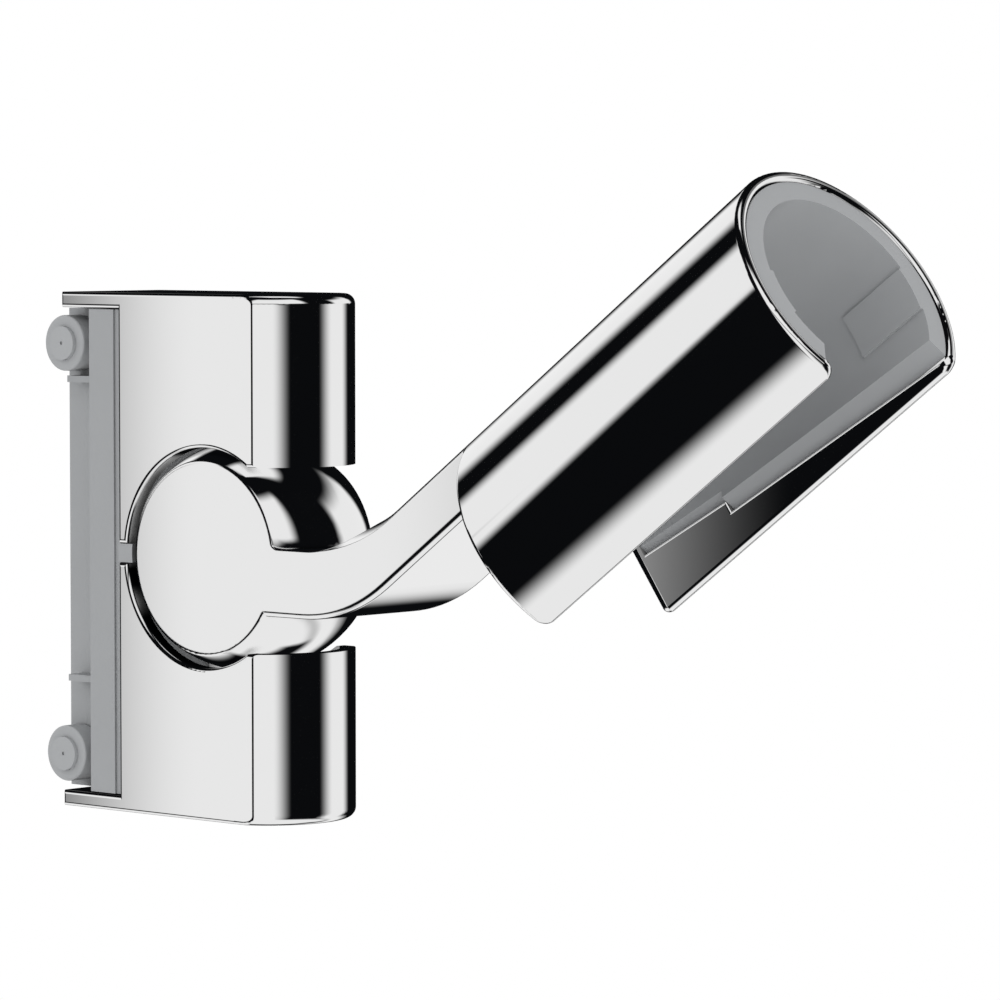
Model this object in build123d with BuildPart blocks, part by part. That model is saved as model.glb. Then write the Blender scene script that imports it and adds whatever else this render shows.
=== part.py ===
import os
from math import asin, cos, degrees, pi, radians, sin, sqrt, tan

from build123d import *

# Shower rail slider with a tilting holder for a hand shower.
# X points away from the rail, Y runs across it along the tilt axis, and Z is up.
# The origin lies on the rail's running face, at the middle of the slider's height.

# Housing covers
housing_height = 70.0
housing_width = 19.2
pivot_x = 31.4
side_front = 9.1
side_back = 16.2
plate_back = 27.2
nose_radius = 11.3
cover_wall = 2.0
cover_plate = 2.1
cover_gap = 24.6
parting_gap = 2.7
nose_round = 1.4
cover_edge_round = 0.5

# Hub of the tilting arm
disc_radius = 12.9
disc_edge_round = 0.4
hub_crown = 2.7
cutout_clearance = 1.75
hub_cavity_radius = 10.4
hub_wall = 2.0
cap_radius = 11.6
cap_thickness = 1.6
cap_lip = 1.0
cap_lip_wall = 1.0

# Arm between the hub and the holder sleeve
arm_drop = 12.54
arm_flat_drop = 0.05
arm_crest_bend = 12.0
arm_crest_start = 10.4
arm_crest_run = 12.5
arm_crest_spare = 0.3
arm_root_thickness = 8.9
arm_end_thickness = 6.69
arm_top_bend = 26.0
arm_bottom_bend = 25.0
arm_bottom_round = 0.8
arm_root_fillet = 2.0
arm_root_reach = 4.0

# Holder sleeve
sleeve_radius = 17.2
sleeve_wall = 1.5
sleeve_length = 56.2
sleeve_tilt = 35.8
sleeve_reach = 54.9
sleeve_rise = 4.18
sleeve_lip = 2.0
sleeve_edge_round = 0.7
sleeve_rim_round = 0.6
slot_half_angle = 39.97
slot_corner = 1.5
slot_wall = 2.0
slot_wall_depth = 2.3
slot_wall_slope = 5.0
slot_step_height = 17.2
slot_step = 1.55
slot_foot_slope = 6.8
slot_wall_round = 0.3

# Liner in the sleeve
liner_fit = 0.1
liner_recess = 0.4
liner_mouth_wall = 2.6
bore_taper = 1.4
liner_slot_spread = 1.0
liner_slot_flare = 31.3
liner_slot_depth = 4.2
pad_length = 10.6
pad_from_angle = 75.0
pad_arc = 27.0
pad_proud = 0.45

# Spigot of the arm that carries the sleeve and the liner
spigot_length = 24.0
spigot_thickness = 2.1
spigot_half_angle = 26.0
spigot_root = 2.5
glue_gap = 0.05
spigot_clearance = 0.1
liner_screw_spacing = 9.0
liner_screw_diameter = 2.5
liner_screw_head = 4.6
liner_screw_head_height = 1.15
liner_screw_sink = 0.25
liner_screw_rim = 0.15
screw_hole_clearance = 0.05

# Carriage on the rail
flank_thickness = 5.6
flank_inset = 0.3
flank_lip = 0.9
flank_lip_depth = 0.3
spine_setback = 4.4
spine_inset = 1.2
plate_clearance = 0.2
wall_clearance = 0.3
seat_depth = 3.9
seat_height = 15.4
hub_clearance = 0.5
tongue_height = 7.0
tab_clearance = 0.1
eye_radius = 7.5
rib_thickness = 0.9
rib_reach = 2.4
rib_setback = 3.3
upper_rib_drop = 9.8
lower_rib_rise = 15.2

# Brake pad in the carriage
pad_height = 16.0
pad_width = 6.0
pad_depth = 3.9
pad_rail_clearance = 0.1
pad_edge_round = 0.4

# Rollers and their axles
roller_radius = 3.8
roller_width = 3.2
roller_plate_gap = 1.1
roller_side_gap = 0.2
roller_edge_round = 0.25
roller_boss_radius = 2.3
roller_boss_height = 0.6
roller_dimple_radius = 0.25
roller_dimple_depth = 0.2
roller_bore_depth = 2.5
axle_radius = 1.0
axle_running_gap = 0.05
axle_end_gap = 0.1
press_gap = 0.01

# Screws that hold the covers on the carriage
cover_screw_drop = 12.4
cover_screw_diameter = 3.0
cover_screw_length = 12.0
cover_screw_head = 5.0
cover_screw_head_height = 1.6
cover_screw_head_sink = 1.8
cover_screw_head_clearance = 0.2
cover_screw_drive = 1.5
cover_screw_drive_depth = 0.9
cover_bridge_height = 5.4
cover_bridge_length = 8.0
cover_bridge_embed = 0.4

# Pivot inside the hub
pin_radius = 3.0
pin_seat_depth = 2.4
pin_tail = 0.5
pin_end_gap = 0.2
pin_groove_depth = 0.6
bush_wall = 1.5
bush_running_gap = 0.03
bush_flange_thickness = 0.9
bush_flange_radius = 6.6
friction_washer_thickness = 0.7
friction_washer_radius = 6.4
spring_height = 1.0
spring_thickness = 0.6
clip_thickness = 0.7
clip_radius = 5.0
clip_gap = 4.0
clip_groove_clearance = 0.05
washer_bore_gap = 0.1

# Travel that the hub window has to leave free
tilt_up = 24.0
tilt_down = 16.0
window_spare_angle = 2.0
window_side_gap = 0.6

# Sizes worked out from the ones above
half_width = housing_width / 2
half_height = housing_height / 2
half_parting = parting_gap / 2
plate_face = half_height - cover_plate
wall_back_x = pivot_x - side_back
plate_back_x = pivot_x - plate_back
side_front_x = pivot_x + side_front
nose_center_x = side_front_x - sqrt(nose_radius**2 - half_width**2)
inner_half_width = half_width - cover_wall
cutout_radius = disc_radius + cutout_clearance
crown_radius = disc_radius + hub_crown
far_reach = 4 * housing_height
touch_tolerance = 0.01

flank_half_width = half_width - flank_inset
flank_front_x = wall_back_x - plate_clearance
flank_back_x = flank_front_x - flank_thickness
seat_front_x = flank_front_x + seat_depth
spine_half_width = half_width - spine_setback
spine_width = 2 * spine_half_width
spine_back_x = spine_inset
carriage_half_height = plate_face - plate_clearance
seat_bottom = plate_face - seat_height
upper_rib_level = plate_face - upper_rib_drop
lower_rib_level = lower_rib_rise - plate_face
roller_level = plate_face - roller_plate_gap - roller_radius
cover_screw_level = plate_face - cover_screw_drop

eye_half_width = half_width - (
    cap_thickness
    + pin_end_gap
    + pin_tail
    + clip_thickness
    + spring_height
    + friction_washer_thickness
    + bush_flange_thickness
)
flange_face = eye_half_width + bush_flange_thickness
washer_face = flange_face + friction_washer_thickness
spring_face = washer_face + spring_height
clip_face = spring_face + clip_thickness
pin_end = clip_face + pin_tail
hub_inner_near = hub_wall - half_width
cap_inner = half_width - cap_thickness
bush_radius = pin_radius + bush_wall
eye_bore_radius = bush_radius + press_gap

tilt = radians(sleeve_tilt)
sleeve_origin = Vector(pivot_x + sleeve_reach, 0, sleeve_rise)
sleeve_along = Vector(cos(tilt), 0, sin(tilt))
sleeve_front = Vector(sin(tilt), 0, -cos(tilt))
sleeve_plane = Plane(origin=sleeve_origin, x_dir=sleeve_front, z_dir=sleeve_along)
sleeve_side_plane = Plane(origin=sleeve_origin, x_dir=sleeve_front, z_dir=(0, -1, 0))
sleeve_axis = Axis(sleeve_origin, sleeve_along)
sleeve_bore_radius = sleeve_radius - sleeve_wall
spigot_outer = sleeve_bore_radius - glue_gap
spigot_inner = spigot_outer - spigot_thickness
liner_outer = sleeve_bore_radius - liner_fit
bore_mouth_radius = liner_outer - liner_mouth_wall
bore_foot_radius = bore_mouth_radius - bore_taper
liner_foot = sleeve_lip
liner_top = sleeve_length - liner_recess
bore_slope = (bore_mouth_radius - bore_foot_radius) / (liner_top - liner_foot)
half_slot = sleeve_radius * sin(radians(slot_half_angle))
slot_width = 2 * half_slot
wall_slope = radians(slot_wall_slope)
foot_slope = radians(slot_foot_slope)
wall_mouth = sqrt(sleeve_radius**2 - half_slot**2) - slot_wall_depth
wall_step = wall_mouth - (sleeve_length - slot_step_height) * tan(wall_slope)
foot_step = wall_step - slot_step
foot_end = foot_step - (slot_step_height - sleeve_lip) * tan(foot_slope)

# Across the arm the top is part of the sleeve's cylinder, so its side edges lie lower than its crest
side_edge_height = sqrt(sleeve_radius**2 - half_width**2)
arm_top_level = side_edge_height - arm_drop
arm_flat_level = arm_top_level - arm_flat_drop
arm_bottom_level = arm_top_level - arm_root_thickness
arm_end_floor = side_edge_height - arm_end_thickness

pivot_axis = Axis((pivot_x, 0, 0), (0, 1, 0))
pivot_side_plane = Plane(origin=(pivot_x, 0, 0), x_dir=(1, 0, 0), z_dir=(0, -1, 0))


def across(y):
    """Plane across the tilt axis through the pivot, at a given height along the axis, facing +Y."""
    return Plane(origin=(pivot_x, y, 0), x_dir=(1, 0, 0), z_dir=(0, 1, 0))


def radial_plane(angle):
    """Plane through the sleeve's axis, turned about it from the slot, with X outwards and Y along it."""
    turn = radians(angle)
    outward = sleeve_front * cos(turn) + Vector(0, 1, 0) * sin(turn)
    return Plane(origin=sleeve_origin, x_dir=outward, z_dir=outward.cross(sleeve_along))


def bore_radius_at(height):
    """Radius of the liner's tapered bore at a height above the sleeve's lower end."""
    return bore_foot_radius + bore_slope * (height - liner_foot)


def spigot_wedge(gap):
    """Wedge behind the sleeve's axis that the spigot fills, with a gap on each side."""
    spread = far_reach * (tan(radians(spigot_half_angle)) + gap / spigot_inner)
    with BuildLine(Plane.XY) as outline:
        Polyline((0, 0), (-far_reach, -spread), (-far_reach, spread), close=True)
    return outline.edges()


def plan_outline(inset, back_x):
    """Outline of the covers' plan, drawn in by inset, from back_x to the rounded nose."""
    half = half_width - inset
    radius = nose_radius - inset
    front_x = nose_center_x + sqrt(radius**2 - half**2)
    with BuildLine(Plane.XY) as outline:
        Polyline((front_x, -half), (back_x, -half), (back_x, half), (front_x, half))
        ThreePointArc((front_x, half), (nose_center_x + radius, 0), (front_x, -half))
    return outline.edges()


def hub_profile(extra):
    """Half section of the crowned hub about the tilt axis, grown by extra all over."""
    half = half_width + extra
    edge = disc_radius + extra
    with BuildLine(Plane.XY) as outline:
        Polyline((edge, -half), (0, -half), (0, half), (edge, half))
        ThreePointArc((edge, half), (crown_radius + extra, 0), (edge, -half))
    return outline.edges()


hub_section_plane = Plane(origin=(pivot_x, 0, 0), x_dir=(1, 0, 0), z_dir=(0, 0, 1))

os.makedirs("parts", exist_ok=True)

# Covers: two hollow castings with flat sides and a round nose, parted at mid height round the hub
with BuildPart() as upper_cover:
    with BuildSketch(Plane.XY.offset(half_parting)):
        make_face(plan_outline(0, plate_back_x))
    extrude(amount=half_height - half_parting)
    nose_edge = upper_cover.edges().group_by(Axis.Z)[-1].filter_by(GeomType.CIRCLE)
    fillet(nose_edge, nose_round)
    with BuildSketch(Plane.XY):
        make_face(plan_outline(cover_wall, plate_back_x - cover_wall))
    extrude(amount=plate_face, mode=Mode.SUBTRACT)
    with BuildSketch(Plane.XY):
        with Locations(((plate_back_x - cover_wall + wall_back_x) / 2, 0)):
            Rectangle(wall_back_x - plate_back_x + cover_wall, 2 * housing_width)
    extrude(amount=plate_face, mode=Mode.SUBTRACT)
    with BuildSketch(pivot_side_plane):
        Circle(cutout_radius)
        with Locations((far_reach / 2, 0)):
            Rectangle(far_reach, cover_gap)
    extrude(amount=housing_width, both=True, mode=Mode.SUBTRACT)
    side_faces = upper_cover.faces().filter_by(Plane.XZ).filter_by(
        lambda face: abs(abs(face.center().Y) - half_width) < touch_tolerance
    )
    fillet(side_faces.edges(), cover_edge_round)
    with BuildSketch(Plane.YZ.offset(seat_front_x)):
        with Locations((0, cover_screw_level)):
            Rectangle(2 * (inner_half_width + cover_bridge_embed), cover_bridge_height)
    extrude(amount=cover_bridge_length)
    with BuildSketch(Plane.YZ.offset(seat_front_x)):
        with Locations((0, cover_screw_level)):
            Circle(cover_screw_diameter / 2 + screw_hole_clearance)
    extrude(amount=cover_bridge_length, mode=Mode.SUBTRACT)
upper_cover.part.label = "upper_cover"
export_step(upper_cover.part, "parts/upper_cover.step")

with BuildPart() as lower_cover:
    add(mirror(upper_cover.part, about=Plane.XY, mode=Mode.PRIVATE))
lower_cover.part.label = "lower_cover"
export_step(lower_cover.part, "parts/lower_cover.step")

# Arm: one casting of the crowned hub, the bent bar and the spigot inside the sleeve
bar_bend_x = sleeve_reach - (arm_drop + sleeve_rise) / tan(tilt)
bottom_corner_x = (
    sleeve_reach
    + (arm_bottom_level - sleeve_rise) / tan(tilt)
    - arm_end_floor / sin(tilt)
)
bar_end = Vector(sleeve_reach, sleeve_rise)
bar_along = Vector(cos(tilt), sin(tilt))
bar_up = Vector(-sin(tilt), cos(tilt))
with BuildPart() as arm:
    with BuildSketch(pivot_side_plane):
        with BuildLine():
            floor_end = bar_end + bar_up * arm_end_floor
            crest_end = bar_end + bar_up * (sleeve_radius + arm_crest_spare)
            crest_join = crest_end - bar_along * arm_crest_run
            FilletPolyline(
                (0, arm_bottom_level),
                (bottom_corner_x, arm_bottom_level),
                (floor_end.X, floor_end.Y),
                radius=arm_bottom_bend,
            )
            FilletPolyline(
                (0, arm_flat_level),
                (disc_radius + arm_crest_start, arm_flat_level),
                (crest_join.X, crest_join.Y),
                (crest_end.X, crest_end.Y),
                radius=arm_crest_bend,
            )
            Line((crest_end.X, crest_end.Y), (floor_end.X, floor_end.Y))
            Line((0, arm_flat_level), (0, arm_bottom_level))
        make_face()
    extrude(amount=half_width, both=True)
    with BuildLine(pivot_side_plane) as crown_path:
        FilletPolyline(
            (-disc_radius, -arm_drop),
            (bar_bend_x, -arm_drop),
            (bar_end.X + bar_along.X, bar_end.Y + bar_along.Y),
            radius=arm_top_bend + side_edge_height,
        )
    with BuildSketch(Plane.YZ.offset(pivot_x - disc_radius)):
        with Locations((0, -arm_drop)):
            Circle(sleeve_radius)
    sweep(path=crown_path.line, mode=Mode.INTERSECT)
    bottom_faces = arm.faces().filter_by(lambda face: face.normal_at().Z < -0.5)
    bottom_edges = bottom_faces.edges().filter_by(
        lambda edge: abs(abs(edge.center().Y) - half_width) < touch_tolerance
    )
    fillet(bottom_edges, arm_bottom_round)
    with BuildSketch(pivot_side_plane):
        Circle(disc_radius - disc_edge_round)
        root_length = disc_radius + arm_root_reach
        root_bottom = arm_bottom_level + arm_bottom_round
        with Locations((root_length / 2, (arm_flat_level + root_bottom) / 2)):
            Rectangle(root_length, arm_flat_level - root_bottom)
        fillet(vertices().sort_by(Axis.X)[:2], arm_root_fillet)
    extrude(amount=half_width, both=True)
    with BuildSketch(hub_section_plane):
        make_face(hub_profile(0))
        fillet(vertices().sort_by(Axis.X)[-2:], disc_edge_round)
    revolve(axis=pivot_axis)
    with BuildSketch(across(hub_inner_near)):
        Circle(hub_cavity_radius)
    extrude(amount=cap_inner - hub_inner_near, mode=Mode.SUBTRACT)
    with BuildSketch(across(cap_inner)):
        Circle(cap_radius)
    extrude(amount=cap_thickness, mode=Mode.SUBTRACT)
    with BuildSketch(across(hub_inner_near)):
        Circle(friction_washer_radius)
    extrude(amount=-washer_face - hub_inner_near)
    with BuildSketch(across(-washer_face)):
        Circle(pin_radius + press_gap)
    extrude(amount=-pin_seat_depth, mode=Mode.SUBTRACT)
    window_edge = degrees(asin(tongue_height / 2 / hub_cavity_radius)) + window_spare_angle
    window_top = radians(180 - tilt_up - window_edge)
    window_bottom = radians(180 + tilt_down + window_edge)
    window_reach = 2 * crown_radius
    with BuildSketch(pivot_side_plane):
        with BuildLine():
            Polyline(
                (0, 0),
                (window_reach * cos(window_top), window_reach * sin(window_top)),
                (-window_reach, 0),
                (window_reach * cos(window_bottom), window_reach * sin(window_bottom)),
                close=True,
            )
        make_face()
    extrude(amount=eye_half_width + window_side_gap, both=True, mode=Mode.SUBTRACT)
    with BuildSketch(sleeve_plane.offset(-spigot_root)):
        Circle(spigot_outer)
        Circle(spigot_inner, mode=Mode.SUBTRACT)
        make_face(spigot_wedge(0), mode=Mode.INTERSECT)
    extrude(amount=spigot_root + spigot_length)
    for row in (1, 2):
        seat = sleeve_origin + sleeve_along * (row * liner_screw_spacing)
        with BuildSketch(Plane(origin=seat - sleeve_front * spigot_inner / 2, z_dir=-sleeve_front)):
            Circle(liner_screw_diameter / 2 + press_gap)
        extrude(amount=spigot_outer, mode=Mode.SUBTRACT)
arm.part.label = "arm"
export_step(arm.part, "parts/arm.step")

# Cap that closes the hub on the far side, with a lip pressed into the cavity
with BuildPart() as hub_cap:
    with BuildSketch(across(cap_inner)):
        Circle(cap_radius - press_gap)
    extrude(amount=cap_thickness)
    with BuildSketch(across(cap_inner)):
        Circle(hub_cavity_radius - press_gap)
        Circle(hub_cavity_radius - cap_lip_wall, mode=Mode.SUBTRACT)
    extrude(amount=-cap_lip)
hub_cap.part.label = "hub_cap"
export_step(hub_cap.part, "parts/hub_cap.step")

# Pivot pin, pressed into the hub's boss and grooved for the clip
with BuildPart() as pivot_pin:
    with BuildSketch(across(-washer_face - pin_seat_depth)):
        Circle(pin_radius)
    extrude(amount=washer_face + pin_seat_depth + pin_end)
    with BuildSketch(across(spring_face)):
        Circle(2 * pin_radius)
        Circle(pin_radius - pin_groove_depth, mode=Mode.SUBTRACT)
    extrude(amount=clip_thickness, mode=Mode.SUBTRACT)
pivot_pin.part.label = "pivot_pin"
export_step(pivot_pin.part, "parts/pivot_pin.step")

# Flanged bushes in the carriage's eye and friction washers against their flanges
for side_name, side in (("near", -1), ("far", 1)):
    with BuildPart() as bush:
        with BuildSketch(across(0)):
            Circle(bush_radius)
            Circle(pin_radius + bush_running_gap, mode=Mode.SUBTRACT)
        extrude(amount=side * eye_half_width)
        with BuildSketch(across(side * eye_half_width)):
            Circle(bush_flange_radius)
            Circle(pin_radius + bush_running_gap, mode=Mode.SUBTRACT)
        extrude(amount=side * bush_flange_thickness)
    bush.part.label = f"{side_name}_pivot_bush"
    export_step(bush.part, f"parts/{side_name}_pivot_bush.step")

    with BuildPart() as friction_washer:
        with BuildSketch(across(side * flange_face)):
            Circle(friction_washer_radius)
            Circle(pin_radius + washer_bore_gap, mode=Mode.SUBTRACT)
        extrude(amount=side * friction_washer_thickness)
    friction_washer.part.label = f"{side_name}_friction_washer"
    export_step(friction_washer.part, f"parts/{side_name}_friction_washer.step")

# Conical spring washer that presses the friction washers together
with BuildPart() as spring_washer:
    with BuildSketch(hub_section_plane):
        with BuildLine():
            Polyline(
                (pin_radius + washer_bore_gap, spring_face - spring_thickness),
                (pin_radius + washer_bore_gap, spring_face),
                (friction_washer_radius, washer_face + spring_thickness),
                (friction_washer_radius, washer_face),
                close=True,
            )
        make_face()
    revolve(axis=pivot_axis)
spring_washer.part.label = "spring_washer"
export_step(spring_washer.part, "parts/spring_washer.step")

# Open retaining clip in the pin's groove
with BuildPart() as pivot_clip:
    with BuildSketch(across(spring_face)):
        Circle(clip_radius)
        Circle(pin_radius - pin_groove_depth + clip_groove_clearance, mode=Mode.SUBTRACT)
        with Locations((clip_radius, 0)):
            Rectangle(2 * clip_radius, clip_gap, mode=Mode.SUBTRACT)
    extrude(amount=clip_thickness)
pivot_clip.part.label = "pivot_clip"
export_step(pivot_clip.part, "parts/pivot_clip.step")


def sleeve_height(edge):
    """Height of an edge's middle above the sleeve's lower end."""
    return (edge.center() - sleeve_origin).dot(sleeve_along)


def sleeve_depth(edge):
    """Distance of an edge's middle from the sleeve's axis towards the slot."""
    return (edge.center() - sleeve_origin).dot(sleeve_front)


def slot_wall_edge(gap):
    """Inner edge of the walls beside the slot from the lip to the mouth, drawn in by gap."""
    return [
        (foot_end - gap, sleeve_lip),
        (foot_step - gap, slot_step_height + gap),
        (wall_step - gap, slot_step_height + gap),
        (wall_mouth - gap, sleeve_length),
    ]


# Flat walls beside the slot, with the edge that the liner shows behind cut along them
with BuildPart() as slot_walls:
    with BuildSketch(sleeve_plane):
        for side in (-1, 1):
            with Locations((sleeve_radius / 2, side * (half_slot + slot_wall / 2))):
                Rectangle(sleeve_radius, slot_wall)
        Circle(sleeve_radius - sleeve_wall / 2, mode=Mode.INTERSECT)
    extrude(amount=sleeve_length)
    with BuildSketch(sleeve_side_plane):
        with BuildLine():
            Polyline(
                (-sleeve_radius, sleeve_lip),
                *slot_wall_edge(0),
                (-sleeve_radius, sleeve_length),
                close=True,
            )
        make_face()
    extrude(amount=sleeve_radius, both=True, mode=Mode.SUBTRACT)
    wall_edges = slot_walls.edges().filter_by(GeomType.LINE).filter_by(
        lambda edge: abs(abs(edge.center().Y) - half_slot) < touch_tolerance
        and sleeve_lip / 2 < sleeve_height(edge) < sleeve_length - touch_tolerance
        and touch_tolerance < sleeve_depth(edge) < wall_mouth
    )
    fillet(wall_edges, slot_wall_round)

# Holder sleeve: a tube with a lip under the liner and a slot for the hose between its walls
with BuildPart() as sleeve:
    with BuildSketch(sleeve_plane):
        Circle(sleeve_radius)
        Circle(sleeve_bore_radius, mode=Mode.SUBTRACT)
    extrude(amount=sleeve_length)
    rim_edges = sleeve.edges().filter_by(
        lambda edge: edge.length < 2 * pi * (sleeve_radius - sleeve_wall / 2)
        and sleeve_height(edge) > sleeve_length / 2
    )
    fillet(rim_edges.filter_by(GeomType.CIRCLE), sleeve_rim_round)
    with BuildSketch(sleeve_plane):
        Circle(sleeve_radius - sleeve_wall / 2)
        Circle(half_slot, mode=Mode.SUBTRACT)
    extrude(amount=sleeve_lip)
    with BuildSketch(sleeve_plane):
        Circle(sleeve_bore_radius)
        Circle(spigot_inner - spigot_clearance, mode=Mode.SUBTRACT)
        make_face(spigot_wedge(2 * spigot_clearance), mode=Mode.INTERSECT)
    extrude(amount=sleeve_lip, mode=Mode.SUBTRACT)
    add(slot_walls.part)
    with BuildSketch(Plane(origin=sleeve_origin, x_dir=(0, 1, 0), z_dir=sleeve_front)):
        with Locations((0, sleeve_length / 2)):
            Rectangle(slot_width, sleeve_length)
        with Locations((0, -slot_corner), (0, sleeve_length + slot_corner)):
            Rectangle(slot_width + 4 * slot_corner, 2 * slot_corner)
        slot_corners = vertices().filter_by(lambda point: abs(abs(point.X) - half_slot) < touch_tolerance)
        fillet(slot_corners, slot_corner)
    extrude(amount=2 * sleeve_radius, mode=Mode.SUBTRACT)
    outer_face = sleeve.faces().filter_by(GeomType.CYLINDER).sort_by(SortBy.AREA)[-1]
    fillet(outer_face.edges(), sleeve_edge_round)
sleeve.part.label = "sleeve"
export_step(sleeve.part, "parts/sleeve.step")


def liner_slot_outline():
    """Outline of the liner's flared slot, seen along it, with X from the edge of the sleeve's walls."""
    flare = tan(radians(liner_slot_flare))
    edge_half = half_slot + liner_slot_spread
    floor_half = edge_half - liner_slot_depth * flare
    reach = 2 * sleeve_radius
    reach_half = edge_half + reach * flare
    with BuildLine(Plane.XY) as outline:
        Polyline(
            (-liner_slot_depth, -floor_half),
            (reach, -reach_half),
            (reach, reach_half),
            (-liner_slot_depth, floor_half),
            close=True,
        )
    return outline.edges()


def slot_run_plane(height, edge, slope):
    """Plane across a run of the slot, at the edge of the sleeve's walls, with Z along the run."""
    run_along = sleeve_along * cos(slope) + sleeve_front * sin(slope)
    run_front = sleeve_front * cos(slope) - sleeve_along * sin(slope)
    start = sleeve_origin + sleeve_along * height + sleeve_front * edge
    return Plane(origin=start, x_dir=run_front, z_dir=run_along)


def screw_plane(height):
    """Plane through a liner screw with X along the sleeve and Y outwards to its back."""
    return Plane(origin=sleeve_origin + sleeve_along * height, x_dir=sleeve_along, z_dir=(0, -1, 0))


def countersunk_outline(head_top, tip, grow, above):
    """Half outline of a countersunk screw, or with grow and above of the hole that takes it."""
    head = liner_screw_head / 2 + grow
    shank = liner_screw_diameter / 2 + grow
    with BuildLine(Plane.XY) as outline:
        Polyline(
            (0, head_top - above),
            (head, head_top - above),
            (head, head_top),
            (shank, head_top + liner_screw_head_height),
            (shank, tip),
            (0, tip),
            close=True,
        )
    return outline.edges()


# Liner: a plastic sleeve with a tapered bore, a flared slot and two raised grip pads at the mouth
with BuildPart() as liner:
    with BuildSketch(sleeve_side_plane):
        with BuildLine():
            Polyline(
                (bore_foot_radius, liner_foot),
                (liner_outer, liner_foot),
                (liner_outer, liner_top),
                (bore_mouth_radius, liner_top),
                close=True,
            )
        make_face()
    revolve(axis=sleeve_axis)
    for start_angle in (pad_from_angle, -pad_from_angle - pad_arc):
        pad_foot = liner_top - pad_length
        with BuildSketch(radial_plane(start_angle)):
            with BuildLine():
                Polyline(
                    (bore_radius_at(pad_foot) + pad_proud, pad_foot),
                    (bore_radius_at(liner_top) + pad_proud, liner_top),
                    (bore_radius_at(liner_top) - pad_proud, liner_top),
                    (bore_radius_at(pad_foot) - pad_proud, pad_foot),
                    close=True,
                )
            make_face()
        revolve(axis=sleeve_axis, revolution_arc=pad_arc)
    with BuildSketch(slot_run_plane(sleeve_length, wall_mouth, wall_slope)):
        make_face(liner_slot_outline())
    extrude(amount=2 * sleeve_length, both=True, mode=Mode.SUBTRACT)
    with BuildSketch(slot_run_plane(slot_step_height, foot_step, foot_slope)):
        make_face(liner_slot_outline())
    extrude(amount=-2 * sleeve_length, mode=Mode.SUBTRACT)
    with BuildSketch(sleeve_side_plane):
        with BuildLine():
            Polyline(
                (2 * sleeve_radius, 0),
                (foot_end - liner_fit, 0),
                *slot_wall_edge(liner_fit),
                (wall_mouth - liner_fit, 2 * sleeve_length),
                (2 * sleeve_radius, 2 * sleeve_length),
                close=True,
            )
        make_face()
    extrude(amount=sleeve_radius, both=True, mode=Mode.SUBTRACT)
    with BuildSketch(sleeve_plane):
        Circle(2 * sleeve_radius)
        Circle(spigot_inner - spigot_clearance, mode=Mode.SUBTRACT)
        make_face(spigot_wedge(2 * spigot_clearance), mode=Mode.INTERSECT)
    extrude(amount=spigot_length + spigot_clearance, mode=Mode.SUBTRACT)
    for row in (1, 2):
        height = row * liner_screw_spacing
        head_top = bore_radius_at(height) + liner_screw_sink
        with BuildSketch(screw_plane(height)):
            make_face(countersunk_outline(head_top, liner_outer, screw_hole_clearance, head_top / 2))
        revolve(axis=Axis(sleeve_origin + sleeve_along * height, -sleeve_front), mode=Mode.SUBTRACT)
liner.part.label = "liner"
export_step(liner.part, "parts/liner.step")

# Countersunk screws that hold the liner on the spigot
with BuildPart() as liner_screws:
    for row in (1, 2):
        height = row * liner_screw_spacing
        head_top = bore_radius_at(height) + liner_screw_sink
        with BuildSketch(screw_plane(height)):
            make_face(countersunk_outline(head_top, spigot_outer - screw_hole_clearance, 0, liner_screw_rim))
        revolve(axis=Axis(sleeve_origin + sleeve_along * height, -sleeve_front))
        seat = sleeve_origin + sleeve_along * height - sleeve_front * (head_top - liner_screw_rim)
        with BuildSketch(Plane(origin=seat, z_dir=-sleeve_front)):
            RegularPolygon(radius=liner_screw_diameter / 2, side_count=6)
        extrude(amount=liner_screw_head_height / 2, mode=Mode.SUBTRACT)
liner_screws.part.label = "liner_screws"
export_step(liner_screws.part, "parts/liner_screws.step")

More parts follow.
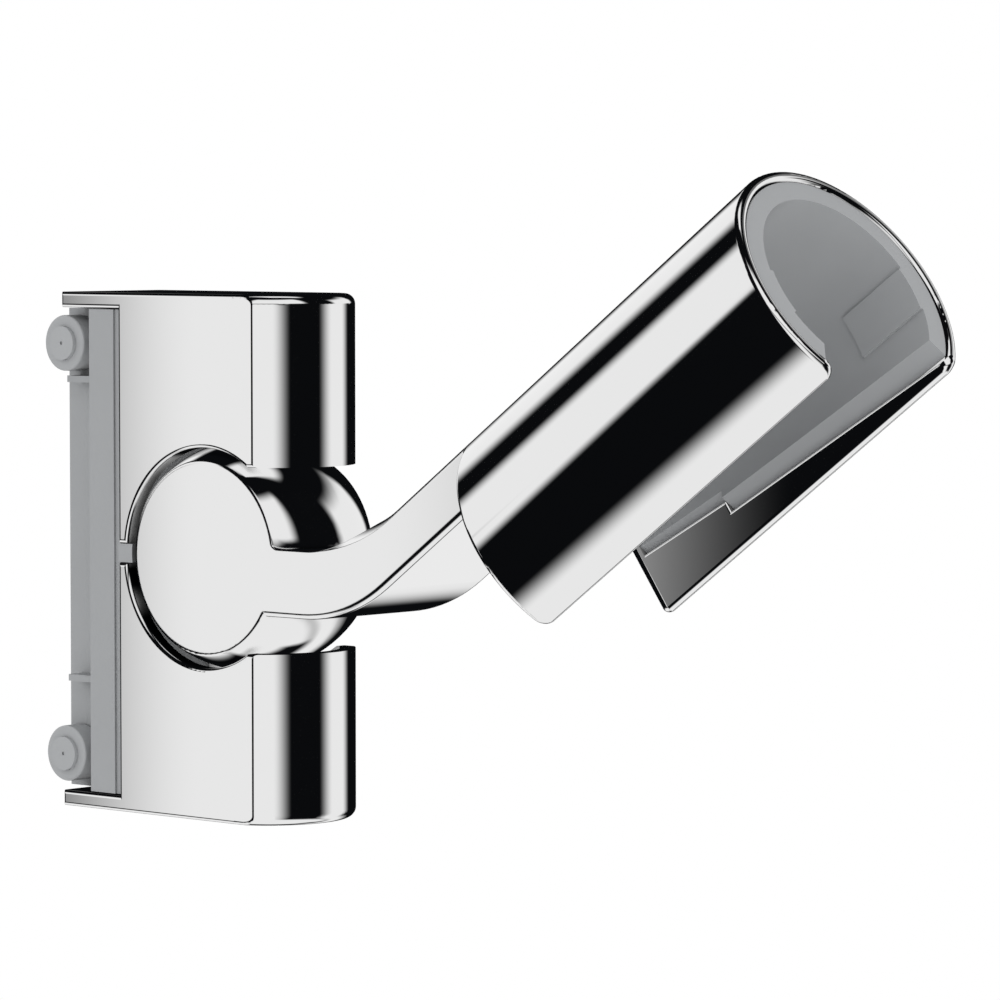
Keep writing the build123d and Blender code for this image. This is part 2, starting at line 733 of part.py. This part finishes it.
# Carriage: one moulding of the flanks, the spine on the rail, the cover seats and the pivot eye
screw_seat_x = flank_back_x + cover_screw_head_sink
screw_places = [(0, -cover_screw_level), (0, cover_screw_level)]
pocket_floor_x = pad_rail_clearance + pad_depth
with BuildPart() as carriage:
    with BuildSketch(Plane.XY.offset(-carriage_half_height)):
        with Locations(((flank_back_x + flank_front_x) / 2, 0)):
            Rectangle(flank_thickness, 2 * flank_half_width)
        with Locations(((spine_back_x + flank_front_x) / 2, 0)):
            Rectangle(flank_front_x - spine_back_x, spine_width)
    extrude(amount=2 * carriage_half_height)
    with BuildSketch(Plane.XY.offset(-carriage_half_height)):
        for side in (-1, 1):
            with Locations((flank_front_x - flank_lip / 2, side * flank_half_width)):
                Rectangle(flank_lip, 2 * flank_lip_depth)
    extrude(amount=2 * carriage_half_height, mode=Mode.SUBTRACT)
    with BuildSketch(Plane.YZ.offset(flank_front_x)):
        for side in (-1, 1):
            with Locations((0, side * (seat_bottom + carriage_half_height) / 2)):
                Rectangle(2 * (inner_half_width - wall_clearance), carriage_half_height - seat_bottom)
    extrude(amount=seat_depth)
    with BuildSketch(Plane.YZ.offset(flank_front_x)):
        Rectangle(2 * flank_half_width, parting_gap - 2 * tab_clearance)
    extrude(amount=pivot_x - flank_front_x)
    with BuildSketch(hub_section_plane):
        make_face(hub_profile(hub_clearance))
    revolve(axis=pivot_axis, mode=Mode.SUBTRACT)
    with BuildSketch(across(-eye_half_width)):
        Circle(eye_radius)
        with Locations(((flank_front_x - pivot_x) / 2, 0)):
            Rectangle(pivot_x - flank_front_x, tongue_height)
    extrude(amount=2 * eye_half_width)
    with BuildSketch(across(-eye_half_width)):
        Circle(eye_bore_radius)
    extrude(amount=2 * eye_half_width, mode=Mode.SUBTRACT)
    for level in (upper_rib_level, lower_rib_level):
        with BuildSketch(Plane.XY.offset(level - rib_thickness / 2)):
            with Locations(((rib_setback + flank_back_x) / 2, 0)):
                Rectangle(flank_back_x - rib_setback, spine_width + 2 * rib_reach)
        extrude(amount=rib_thickness)
    with BuildSketch(Plane.YZ.offset(spine_back_x)):
        Rectangle(pad_width, pad_height)
    extrude(amount=pocket_floor_x - spine_back_x, mode=Mode.SUBTRACT)
    with BuildSketch(Plane.XZ):
        with Locations((roller_radius, -roller_level), (roller_radius, roller_level)):
            Circle(axle_radius + axle_running_gap)
    extrude(amount=housing_width, both=True, mode=Mode.SUBTRACT)
    with BuildSketch(Plane.YZ.offset(screw_seat_x)):
        with Locations(*screw_places):
            Circle(cover_screw_head / 2 + cover_screw_head_clearance)
    extrude(amount=-screw_seat_x, mode=Mode.SUBTRACT)
    with BuildSketch(Plane.YZ.offset(screw_seat_x)):
        with Locations(*screw_places):
            Circle(cover_screw_diameter / 2 + screw_hole_clearance)
    extrude(amount=seat_front_x - screw_seat_x, mode=Mode.SUBTRACT)
carriage.part.label = "carriage"
export_step(carriage.part, "parts/carriage.step")

# Brake pad that rubs on the rail and holds the slider at its height
with BuildPart() as brake_pad:
    with BuildSketch(Plane.YZ.offset(pad_rail_clearance)):
        Rectangle(pad_width, pad_height)
    extrude(amount=pad_depth)
    fillet(brake_pad.edges().group_by(Axis.X)[0], pad_edge_round)
brake_pad.part.label = "brake_pad"
export_step(brake_pad.part, "parts/brake_pad.step")

# Screws that hold the covers, set from the rail side
with BuildPart() as cover_screws:
    with BuildSketch(Plane.YZ.offset(screw_seat_x - cover_screw_head_height)):
        with Locations(*screw_places):
            Circle(cover_screw_head / 2)
    extrude(amount=cover_screw_head_height)
    with BuildSketch(Plane.YZ.offset(screw_seat_x)):
        with Locations(*screw_places):
            Circle(cover_screw_diameter / 2)
    extrude(amount=cover_screw_length)
    with BuildSketch(Plane.YZ.offset(screw_seat_x - cover_screw_head_height)):
        with Locations(*screw_places):
            RegularPolygon(radius=cover_screw_drive, side_count=6)
    extrude(amount=cover_screw_drive_depth, mode=Mode.SUBTRACT)
cover_screws.part.label = "cover_screws"
export_step(cover_screws.part, "parts/cover_screws.step")

# Axles that turn in the spine, each with two rollers pressed on its ends
roller_inner_y = spine_half_width + roller_side_gap
axle_half_length = roller_inner_y + roller_bore_depth - axle_end_gap
for level_name, level in (("upper", roller_level), ("lower", -roller_level)):
    with BuildPart() as axle:
        with BuildSketch(Plane.XZ):
            with Locations((roller_radius, level)):
                Circle(axle_radius)
        extrude(amount=axle_half_length, both=True)
    axle.part.label = f"{level_name}_axle"
    export_step(axle.part, f"parts/{level_name}_axle.step")

    for side_name, side in (("near", -1), ("far", 1)):
        center = (roller_radius, side * roller_inner_y, level)
        roller_plane = Plane(origin=center, x_dir=(1, 0, 0), z_dir=(0, side, 0))
        with BuildPart() as roller:
            with BuildSketch(roller_plane):
                Circle(roller_radius)
            extrude(amount=roller_width)
            fillet(roller.edges().filter_by(GeomType.CIRCLE), roller_edge_round)
            with BuildSketch(roller_plane.offset(roller_width)):
                Circle(roller_boss_radius)
            extrude(amount=roller_boss_height)
            with BuildSketch(roller_plane.offset(roller_width + roller_boss_height)):
                Circle(roller_dimple_radius)
            extrude(amount=-roller_dimple_depth, mode=Mode.SUBTRACT)
            with BuildSketch(roller_plane):
                Circle(axle_radius + press_gap)
            extrude(amount=roller_bore_depth, mode=Mode.SUBTRACT)
        roller.part.label = f"{level_name}_{side_name}_roller"
        export_step(roller.part, f"parts/{level_name}_{side_name}_roller.step")
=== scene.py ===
"""Looks of a shower rail slider: chromed housing, arm and sleeve, grey mouldings, and a white studio."""
import math

import bpy
from bpy.props import FloatProperty, FloatVectorProperty, PointerProperty
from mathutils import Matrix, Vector


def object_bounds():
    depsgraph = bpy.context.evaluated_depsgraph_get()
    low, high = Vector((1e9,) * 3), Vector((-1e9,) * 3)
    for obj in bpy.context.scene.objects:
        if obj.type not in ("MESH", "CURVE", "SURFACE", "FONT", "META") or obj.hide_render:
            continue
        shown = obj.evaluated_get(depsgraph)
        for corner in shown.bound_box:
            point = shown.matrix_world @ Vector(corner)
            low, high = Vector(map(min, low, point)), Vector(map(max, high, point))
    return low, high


bl_info = {
    "name": "Shower Rail Slider",
    "version": (1, 0, 0),
    "blender": (4, 5, 0),
    "location": "View3D > Sidebar > Slider",
    "description": "Finishes the pieces of a shower rail slider and sets up a white studio round it",
    "category": "Object",
}

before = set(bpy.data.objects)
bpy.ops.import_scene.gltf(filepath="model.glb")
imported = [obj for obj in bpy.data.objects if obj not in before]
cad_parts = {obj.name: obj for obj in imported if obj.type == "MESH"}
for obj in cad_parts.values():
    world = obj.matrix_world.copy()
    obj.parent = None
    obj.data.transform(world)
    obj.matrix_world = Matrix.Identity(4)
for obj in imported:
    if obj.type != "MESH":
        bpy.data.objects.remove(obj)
cad_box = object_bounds()
MM = 0.001

# Sockets of a Mix node that mixes colours
MIX_SHARE = 0
MIX_FIRST = 6
MIX_SECOND = 7
MIX_COLOUR = 2

# Rays that each shading point sends out to feel for gaps and for edges
GAP_SAMPLES = 8
EDGE_SAMPLES = 16

CHROME_NODES = ("upper_cover", "lower_cover", "hub_cap")
ROLLER_NODES = ("upper_near_roller", "upper_far_roller", "lower_near_roller", "lower_far_roller")
BUSH_NODES = ("near_pivot_bush", "far_pivot_bush", "near_friction_washer", "far_friction_washer")
STEEL_NODES = (
    "pivot_pin",
    "pivot_clip",
    "spring_washer",
    "upper_axle",
    "lower_axle",
    "cover_screws",
    "liner_screws",
)


def linear(hex_colour):
    """Linear colour of an sRGB hex value such as A9ABAD."""
    channels = [int(hex_colour[i:i + 2], 16) / 255 for i in (0, 2, 4)]
    return tuple(c / 12.92 if c <= 0.04045 else ((c + 0.055) / 1.055) ** 2.4 for c in channels)


def add_node(tree, kind, settings=None, inputs=None):
    """Adds a node with its settings, and fills its inputs with values or with other nodes' outputs."""
    node = tree.nodes.new(kind)
    for name, value in (settings or {}).items():
        setattr(node, name, value)
    for key, value in (inputs or {}).items():
        if isinstance(value, bpy.types.NodeSocket):
            tree.links.new(value, node.inputs[key])
        else:
            node.inputs[key].default_value = value
    return node


def new_material(name):
    """An empty node material, with its tree."""
    material = bpy.data.materials.new(name)
    material.use_nodes = True
    material.node_tree.nodes.clear()
    return material, material.node_tree


def per_mm(size_mm):
    """Texture scale, per metre, at which one cell of a pattern is this many millimetres wide."""
    return 1 / (size_mm * MM)


def finish_nodes(names, material):
    """Gives CAD nodes a material in place of the one they came with."""
    for name in names:
        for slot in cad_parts[name].material_slots:
            slot.material = material


class ChromeSettings(bpy.types.PropertyGroup):
    """Bright chrome plate on the castings and the sleeve."""

    colour: FloatVectorProperty(
        name="Colour", description="Reflected colour of the plate", subtype="COLOR", size=3,
        min=0, max=1, default=linear("E7E7E7"),
    )
    roughness: FloatProperty(
        name="Roughness", description="Polish of the plate", subtype="FACTOR", min=0, max=1, default=0.02,
    )
    ripple_mm: FloatProperty(
        name="Ripple", description="Spacing of the plate's faint ripple, in millimetres",
        min=0.1, default=5.0,
    )
    # Painted shade: the plate's colour darkens in gaps of this width between pieces
    shaded_gap_mm: FloatProperty(
        name="Gaps", description="Width of the gaps that darken between pieces, in millimetres",
        min=0, default=3.5,
    )
    # Painted shade: the arm's and the sleeve's colour darkens in gaps of this width
    tight_shaded_gap_mm: FloatProperty(
        name="Tight gaps", description="Width of the gaps that darken the arm and the sleeve, in millimetres",
        min=0, default=1.2,
    )
    edge_mm: FloatProperty(
        name="Edges", description="Radius to which polishing rounds the arm's edges, in millimetres",
        min=0, default=0.3,
    )


class PlasticSettings(bpy.types.PropertyGroup):
    """Grey mouldings: the carriage, the rollers and the liner."""

    carriage_colour: FloatVectorProperty(
        name="Carriage", description="Colour of the carriage moulding", subtype="COLOR", size=3,
        min=0, max=1, default=linear("A6A8AA"),
    )
    roller_colour: FloatVectorProperty(
        name="Rollers", description="Colour of the rollers", subtype="COLOR", size=3,
        min=0, max=1, default=linear("ADAFB1"),
    )
    liner_colour: FloatVectorProperty(
        name="Liner", description="Colour of the liner moulding", subtype="COLOR", size=3,
        min=0, max=1, default=linear("A6A8AA"),
    )
    grain_mm: FloatProperty(
        name="Grain", description="Spacing of the mould's spark texture, in millimetres",
        min=0.05, default=0.25,
    )
    # Painted shade: the mouldings' colour darkens in gaps of this width between pieces
    shaded_gap_mm: FloatProperty(
        name="Gaps", description="Width of the gaps that darken between pieces, in millimetres",
        min=0, default=2.5,
    )


class StudioSettings(bpy.types.PropertyGroup):
    """Camera and floor of the white studio."""

    lens: FloatProperty(
        name="Lens", description="Focal length of the camera", subtype="DISTANCE_CAMERA", default=182.4,
    )
    camera_place: FloatVectorProperty(
        name="Camera", description="Place of the camera",
        subtype="TRANSLATION", unit="LENGTH", size=3, default=(0.50707, -0.48240, 0.04667),
    )
    camera_target: FloatVectorProperty(
        name="Target", description="Point that the camera looks at",
        subtype="TRANSLATION", unit="LENGTH", size=3, default=(0.07556, 0.0, 0.00903),
    )
    floor_drop: FloatProperty(
        name="Floor drop", description="Depth of the floor below the slider",
        subtype="DISTANCE", default=0.25,
    )
    floor_size: FloatProperty(
        name="Floor size", description="Width of the floor", subtype="DISTANCE", default=6.0,
    )


def openness(tree, shaded_gap_mm, shut, clear, least):
    """How open a point lies, from least deep in a gap to 1 in the clear, as a node output that sets how much
    painted shade goes into a colour.
    """
    gaps = add_node(tree, "ShaderNodeAmbientOcclusion", settings={"samples": GAP_SAMPLES}, inputs={
        "Distance": shaded_gap_mm * MM,
    })
    depth = add_node(tree, "ShaderNodeMapRange", inputs={
        "Value": gaps.outputs["AO"],
        "From Min": shut,
        "From Max": clear,
        "To Min": least,
    })
    return depth.outputs["Result"]


def chrome_plate(name, settings, shaded_gap_mm, edge_mm):
    """Bright chrome with a hardly visible ripple, with shade painted into its colour in gaps, its edges
    rounded if edge_mm isn't 0.
    """
    painted_gap_shade = tuple(c * 0.03 for c in settings.colour)
    material, tree = new_material(name)
    place = add_node(tree, "ShaderNodeTexCoord")
    ripple = add_node(tree, "ShaderNodeTexNoise", inputs={
        "Vector": place.outputs["Object"],
        "Scale": per_mm(settings.ripple_mm),
        "Detail": 1.0,
    })
    polish = add_node(tree, "ShaderNodeMapRange", inputs={
        "Value": ripple.outputs["Fac"],
        "To Min": settings.roughness * 0.7,
        "To Max": settings.roughness * 1.3,
    })
    # Painted shade: the plate's colour turns nearly black deep in gaps between pieces
    plate = add_node(tree, "ShaderNodeMix", settings={"data_type": "RGBA"}, inputs={
        MIX_SHARE: openness(tree, shaded_gap_mm, shut=0.3, clear=0.8, least=0.0),
        MIX_FIRST: (*painted_gap_shade, 1),
        MIX_SECOND: (*settings.colour, 1),
    })
    shader = add_node(tree, "ShaderNodeBsdfPrincipled", inputs={
        "Base Color": plate.outputs[MIX_COLOUR],
        "Metallic": 1.0,
        "Roughness": polish.outputs["Result"],
    })
    if edge_mm:
        edges = add_node(tree, "ShaderNodeBevel", settings={"samples": EDGE_SAMPLES}, inputs={
            "Radius": edge_mm * MM,
        })
        tree.links.new(edges.outputs["Normal"], shader.inputs["Normal"])
    add_node(tree, "ShaderNodeOutputMaterial", inputs={"Surface": shader.outputs["BSDF"]})
    return material


class SLIDER_OT_chrome(bpy.types.Operator):
    """Plates the housing covers, the arm, the hub's cap and the sleeve with bright chrome"""

    bl_idname = "rail_slider.chrome"
    bl_label = "Chrome pieces"

    def execute(self, context):
        settings = context.scene.slider_chrome
        # Bright chrome over polished zinc: a neutral mirror, with painted shade in the groove round the hub
        housing = chrome_plate("bright_chrome_plate", settings, settings.shaded_gap_mm, 0)
        finish_nodes(CHROME_NODES, housing)
        # Bright chrome over the drawn brass tube: the same mirror, with painted shade only where the liner
        # meets it
        tube = chrome_plate("bright_chrome_plate_on_tube", settings, settings.tight_shaded_gap_mm, 0)
        finish_nodes(("sleeve",), tube)
        # Bright chrome over the arm's casting: the same mirror, with painted shade in tight gaps and the
        # bar's edges rounded by polishing
        casting = chrome_plate(
            "bright_chrome_plate_on_casting", settings, settings.tight_shaded_gap_mm, settings.edge_mm,
        )
        finish_nodes(("arm",), casting)
        return {"FINISHED"}


# Faint unevenness of every moulding: pigment clouds, the spark texture's depth and the sheen's spread
CLOUD_MM = 6.0
CLOUD_SHARE = 0.03
SPARK_DEPTH_MM = 0.02
SPARK_STRENGTH = 0.12
SHEEN_SPREAD = 0.06


def moulded_plastic(name, colour, grain_mm, roughness, shaded_gap_mm=0):
    """Plastic with fine spark texture and slightly cloudy pigment, with shade painted into its colour in gaps
    if its gap width isn't 0.
    """
    material, tree = new_material(name)
    place = add_node(tree, "ShaderNodeTexCoord")
    cloud = add_node(tree, "ShaderNodeTexNoise", inputs={
        "Vector": place.outputs["Object"],
        "Scale": per_mm(CLOUD_MM),
        "Detail": 2.0,
    })
    shade = add_node(tree, "ShaderNodeMix", settings={"data_type": "RGBA"}, inputs={
        MIX_SHARE: cloud.outputs["Fac"],
        MIX_FIRST: (*(c * (1 - CLOUD_SHARE) for c in colour), 1),
        MIX_SECOND: (*(min(1, c * (1 + CLOUD_SHARE)) for c in colour), 1),
    })
    grain = add_node(tree, "ShaderNodeTexNoise", inputs={
        "Vector": place.outputs["Object"],
        "Scale": per_mm(grain_mm),
        "Detail": 3.0,
    })
    bump = add_node(tree, "ShaderNodeBump", inputs={
        "Strength": SPARK_STRENGTH,
        "Distance": SPARK_DEPTH_MM * MM,
        "Height": grain.outputs["Fac"],
    })
    sheen = add_node(tree, "ShaderNodeMapRange", inputs={
        "Value": grain.outputs["Fac"],
        "To Min": roughness - SHEEN_SPREAD,
        "To Max": roughness + SHEEN_SPREAD,
    })
    shader = add_node(tree, "ShaderNodeBsdfPrincipled", inputs={
        "Base Color": shade.outputs[MIX_COLOUR],
        "Roughness": sheen.outputs["Result"],
        "IOR": 1.48,
        "Normal": bump.outputs["Normal"],
    })
    if shaded_gap_mm:
        # Painted shade: the colour darkens towards black deep in gaps between pieces
        dark = add_node(tree, "ShaderNodeMix", settings={"data_type": "RGBA"}, inputs={
            MIX_SHARE: openness(tree, shaded_gap_mm, shut=0.0, clear=0.6, least=0.1),
            MIX_FIRST: (0, 0, 0, 1),
            MIX_SECOND: shade.outputs[MIX_COLOUR],
        })
        tree.links.new(dark.outputs[MIX_COLOUR], shader.inputs["Base Color"])
    add_node(tree, "ShaderNodeOutputMaterial", inputs={"Surface": shader.outputs["BSDF"]})
    return material


class SLIDER_OT_carriage(bpy.types.Operator):
    """Finishes the carriage as a satin grey moulding"""

    bl_idname = "rail_slider.carriage"
    bl_label = "Carriage"

    def execute(self, context):
        settings = context.scene.slider_plastic
        # Grey acetal, moulded: an even satin grey, with painted shade in its gaps
        material = moulded_plastic(
            "grey_acetal_carriage", settings.carriage_colour, settings.grain_mm,
            roughness=0.45, shaded_gap_mm=settings.shaded_gap_mm,
        )
        finish_nodes(("carriage",), material)
        return {"FINISHED"}


class SLIDER_OT_rollers(bpy.types.Operator):
    """Finishes the rollers as pale grey mouldings"""

    bl_idname = "rail_slider.rollers"
    bl_label = "Rollers"

    def execute(self, context):
        settings = context.scene.slider_plastic
        # Grey acetal, moulded and a little polished by running: paler and smoother than the carriage, with
        # painted shade in its gaps
        material = moulded_plastic(
            "grey_acetal_roller", settings.roller_colour, settings.grain_mm,
            roughness=0.4, shaded_gap_mm=settings.shaded_gap_mm,
        )
        finish_nodes(ROLLER_NODES, material)
        return {"FINISHED"}


class SLIDER_OT_liner(bpy.types.Operator):
    """Finishes the liner as a soft grey moulding"""

    bl_idname = "rail_slider.liner"
    bl_label = "Liner"

    def execute(self, context):
        settings = context.scene.slider_plastic
        # Grey polypropylene, moulded: satin and a little duller than the carriage
        material = moulded_plastic(
            "grey_polypropylene_liner", settings.liner_colour, settings.grain_mm, roughness=0.5,
        )
        finish_nodes(("liner",), material)
        return {"FINISHED"}


class SLIDER_OT_hidden_parts(bpy.types.Operator):
    """Finishes the pin, screws, axles, bushes, washers and brake pad"""

    bl_idname = "rail_slider.hidden_parts"
    bl_label = "Pivot, screws and pad"

    def execute(self, context):
        # Natural acetal, turned: a warm white with a faint sheen
        bush = moulded_plastic("natural_acetal_bush", linear("E2DFD6"), grain_mm=0.3, roughness=0.38)
        finish_nodes(BUSH_NODES, bush)
        # Brake rubber, moulded: nearly black and dull
        rubber = moulded_plastic("black_brake_rubber", linear("222324"), grain_mm=0.4, roughness=0.8)
        finish_nodes(("brake_pad",), rubber)
        # Stainless steel, turned: a grey mirror blurred by the tool's fine rings
        material, tree = new_material("turned_stainless_steel")
        place = add_node(tree, "ShaderNodeTexCoord")
        rings = add_node(tree, "ShaderNodeTexNoise", inputs={
            "Vector": place.outputs["Object"],
            "Scale": per_mm(0.3),
            "Detail": 2.0,
        })
        polish = add_node(tree, "ShaderNodeMapRange", inputs={
            "Value": rings.outputs["Fac"],
            "To Min": 0.2,
            "To Max": 0.34,
        })
        shader = add_node(tree, "ShaderNodeBsdfPrincipled", inputs={
            "Base Color": (*linear("C4C5C7"), 1),
            "Metallic": 1.0,
            "Roughness": polish.outputs["Result"],
        })
        add_node(tree, "ShaderNodeOutputMaterial", inputs={"Surface": shader.outputs["BSDF"]})
        finish_nodes(STEEL_NODES, material)
        return {"FINISHED"}


# White cards round the dark studio, which the chrome shows as its bright bands.
# Each has its middle and half width round the compass and the softness of its two ends,
# then its middle and half height and the softness of its lower and upper edge, in degrees.
CARDS = (
    ("floor", -21, 112, 5, 5, -90, 42, 8, 8),
    ("below", 0, 200, 1, 1, -90, 27, 4, 4),
    ("back_floor", 188, 38, 6, 6, -46, 16, 5, 5),
    ("far_floor", 87, 40, 10, 4, -39, 8, 4, 7),
    ("front_left", -54.5, 23.5, 5, 13, -25, 35, 5, 3),
    ("high_left", -35.5, 39.5, 5, 5, 39, 23, 4, 6),
    ("front_right", 55.5, 20.5, 12, 9, -17, 23, 5, 2),
    ("high_right", 74.5, 22.5, 5, 4, 18.5, 14.5, 2, 8),
    ("top", 110, 62, 12, 12, 82, 13, 4, 4),
    ("near", -133.675, 2.775, 1.25, 2.4, -5, 8, 3, 2),
    ("high_near", -145.7, 14.8, 5, 2.4, 13.4, 13.1, 1.5, 4),
    ("back", 159.5, 15.5, 5.5, 7, 15, 12, 3, 4),
)


def card_light(tree, direction, card):
    """How much of a card a direction meets, from 0 to 1, as a node output."""
    name, middle, half_width, soft_low, soft_high, level, half_height, soft_under, soft_over = card
    facing = {"rotation_type": "Z_AXIS", "label": name}
    turned = add_node(tree, "ShaderNodeVectorRotate", settings=facing, inputs={
        "Vector": direction,
        "Angle": -math.radians(middle),
    })
    parts = add_node(tree, "ShaderNodeSeparateXYZ", inputs={"Vector": turned.outputs["Vector"]})
    compass = add_node(tree, "ShaderNodeMath", settings={"operation": "ARCTAN2"}, inputs={
        0: parts.outputs["Y"],
        1: parts.outputs["X"],
    })
    height = add_node(tree, "ShaderNodeMath", settings={"operation": "ARCSINE"}, inputs={
        0: parts.outputs["Z"],
    })
    edges = (
        (compass, -half_width - soft_low, -half_width + soft_low),
        (compass, half_width + soft_high, half_width - soft_high),
        (height, level - half_height - soft_under, level - half_height + soft_under),
        (height, level + half_height + soft_over, level + half_height - soft_over),
    )
    light = None
    for angle, outside, inside in edges:
        edge = add_node(tree, "ShaderNodeMapRange", settings={"interpolation_type": "SMOOTHSTEP"}, inputs={
            "Value": angle.outputs["Value"],
            "From Min": math.radians(outside),
            "From Max": math.radians(inside),
        })
        if light is None:
            light = edge.outputs["Result"]
        else:
            both = add_node(tree, "ShaderNodeMath", settings={"operation": "MULTIPLY"}, inputs={
                0: light,
                1: edge.outputs["Result"],
            })
            light = both.outputs["Value"]
    return light


class SLIDER_OT_stage(bpy.types.Operator):
    """Builds the pale floor, the studio's light and the camera"""

    bl_idname = "rail_slider.stage"
    bl_label = "Studio"

    def execute(self, context):
        settings = context.scene.slider_studio
        self.build_floor(context.scene, settings)
        self.build_world(context.scene)
        self.build_camera(context.scene, settings)
        # The plate mirrors the studio's cards alone, not the slider's own pieces
        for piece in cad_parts.values():
            piece.visible_glossy = False
        context.scene.view_settings.view_transform = "Standard"
        return {"FINISHED"}

    def build_floor(self, scene, settings):
        """Pale floor well below the slider, white to the camera."""
        mesh = bpy.data.meshes.new("floor")
        half = settings.floor_size / 2
        level = cad_box[0].z - settings.floor_drop
        corners = [(-half, -half, level), (half, -half, level), (half, half, level), (-half, half, level)]
        mesh.from_pydata(corners, [], [(0, 1, 2, 3)])
        floor = bpy.data.objects.new("floor", mesh)
        scene.collection.objects.link(floor)
        # Matt white paper: white to the camera, pale to the light it throws back
        material, tree = new_material("matt_white_paper")
        path = add_node(tree, "ShaderNodeLightPath")
        paper = add_node(tree, "ShaderNodeBsdfDiffuse", inputs={"Color": (*linear("F2F2F2"), 1)})
        white = add_node(tree, "ShaderNodeEmission", inputs={"Color": (1, 1, 1, 1), "Strength": 1.0})
        seen = add_node(tree, "ShaderNodeMixShader", inputs={
            0: path.outputs["Is Camera Ray"],
            1: paper.outputs["BSDF"],
            2: white.outputs["Emission"],
        })
        add_node(tree, "ShaderNodeOutputMaterial", inputs={"Surface": seen.outputs["Shader"]})
        mesh.materials.append(material)
        floor.visible_glossy = False

    def build_world(self, scene):
        """White all round, and for what mirrors it a dark room with white cards."""
        world = bpy.data.worlds.new("white_studio")
        scene.world = world
        world.use_nodes = True
        tree = world.node_tree
        tree.nodes.clear()
        path = add_node(tree, "ShaderNodeLightPath")
        place = add_node(tree, "ShaderNodeTexCoord")
        white = (1, 1, 1, 1)
        # The dark room, on which the cards are laid one after another
        colour = (*linear("0C0D0F"), 1)
        for card in CARDS:
            mixed = add_node(tree, "ShaderNodeMix", settings={"data_type": "RGBA"}, inputs={
                MIX_SHARE: card_light(tree, place.outputs["Generated"], card),
                MIX_FIRST: colour,
                MIX_SECOND: white,
            })
            colour = mixed.outputs[MIX_COLOUR]
        studio = add_node(tree, "ShaderNodeMix", settings={"data_type": "RGBA"}, inputs={
            MIX_SHARE: path.outputs["Is Glossy Ray"],
            MIX_FIRST: white,
            MIX_SECOND: colour,
        })
        light = add_node(tree, "ShaderNodeBackground", inputs={
            "Color": studio.outputs[MIX_COLOUR],
            "Strength": 1.0,
        })
        add_node(tree, "ShaderNodeOutputWorld", inputs={"Surface": light.outputs["Background"]})

    def build_camera(self, scene, settings):
        """Long lens a little above the slider, off its holder's side."""
        data = bpy.data.cameras.new("camera")
        data.lens = settings.lens
        data.clip_start = 0.01
        camera = bpy.data.objects.new("camera", data)
        scene.collection.objects.link(camera)
        camera.location = settings.camera_place
        sight = Vector(settings.camera_target) - Vector(settings.camera_place)
        camera.rotation_euler = sight.to_track_quat("-Z", "Y").to_euler()
        scene.camera = camera


OPERATORS = (
    SLIDER_OT_chrome,
    SLIDER_OT_carriage,
    SLIDER_OT_rollers,
    SLIDER_OT_liner,
    SLIDER_OT_hidden_parts,
    SLIDER_OT_stage,
)


class SLIDER_PT_sidebar(bpy.types.Panel):
    """Lists the slider's pieces and its studio"""

    bl_idname = "SLIDER_PT_sidebar"
    bl_label = "Shower Rail Slider"
    bl_space_type = "VIEW_3D"
    bl_region_type = "UI"
    bl_category = "Slider"

    def draw(self, context):
        for operator in OPERATORS:
            self.layout.operator(operator.bl_idname)


SETTINGS = (
    ("slider_chrome", ChromeSettings),
    ("slider_plastic", PlasticSettings),
    ("slider_studio", StudioSettings),
)


def register():
    for name, group in SETTINGS:
        bpy.utils.register_class(group)
        setattr(bpy.types.Scene, name, PointerProperty(type=group))
    for operator in OPERATORS:
        bpy.utils.register_class(operator)
    bpy.utils.register_class(SLIDER_PT_sidebar)


def unregister():
    bpy.utils.unregister_class(SLIDER_PT_sidebar)
    for operator in reversed(OPERATORS):
        bpy.utils.unregister_class(operator)
    for name, group in reversed(SETTINGS):
        delattr(bpy.types.Scene, name)
        bpy.utils.unregister_class(group)


def main():
    register()
    bpy.ops.rail_slider.chrome()
    bpy.ops.rail_slider.carriage()
    bpy.ops.rail_slider.rollers()
    bpy.ops.rail_slider.liner()
    bpy.ops.rail_slider.hidden_parts()
    bpy.ops.rail_slider.stage()


if __name__ == "__main__":
    main()
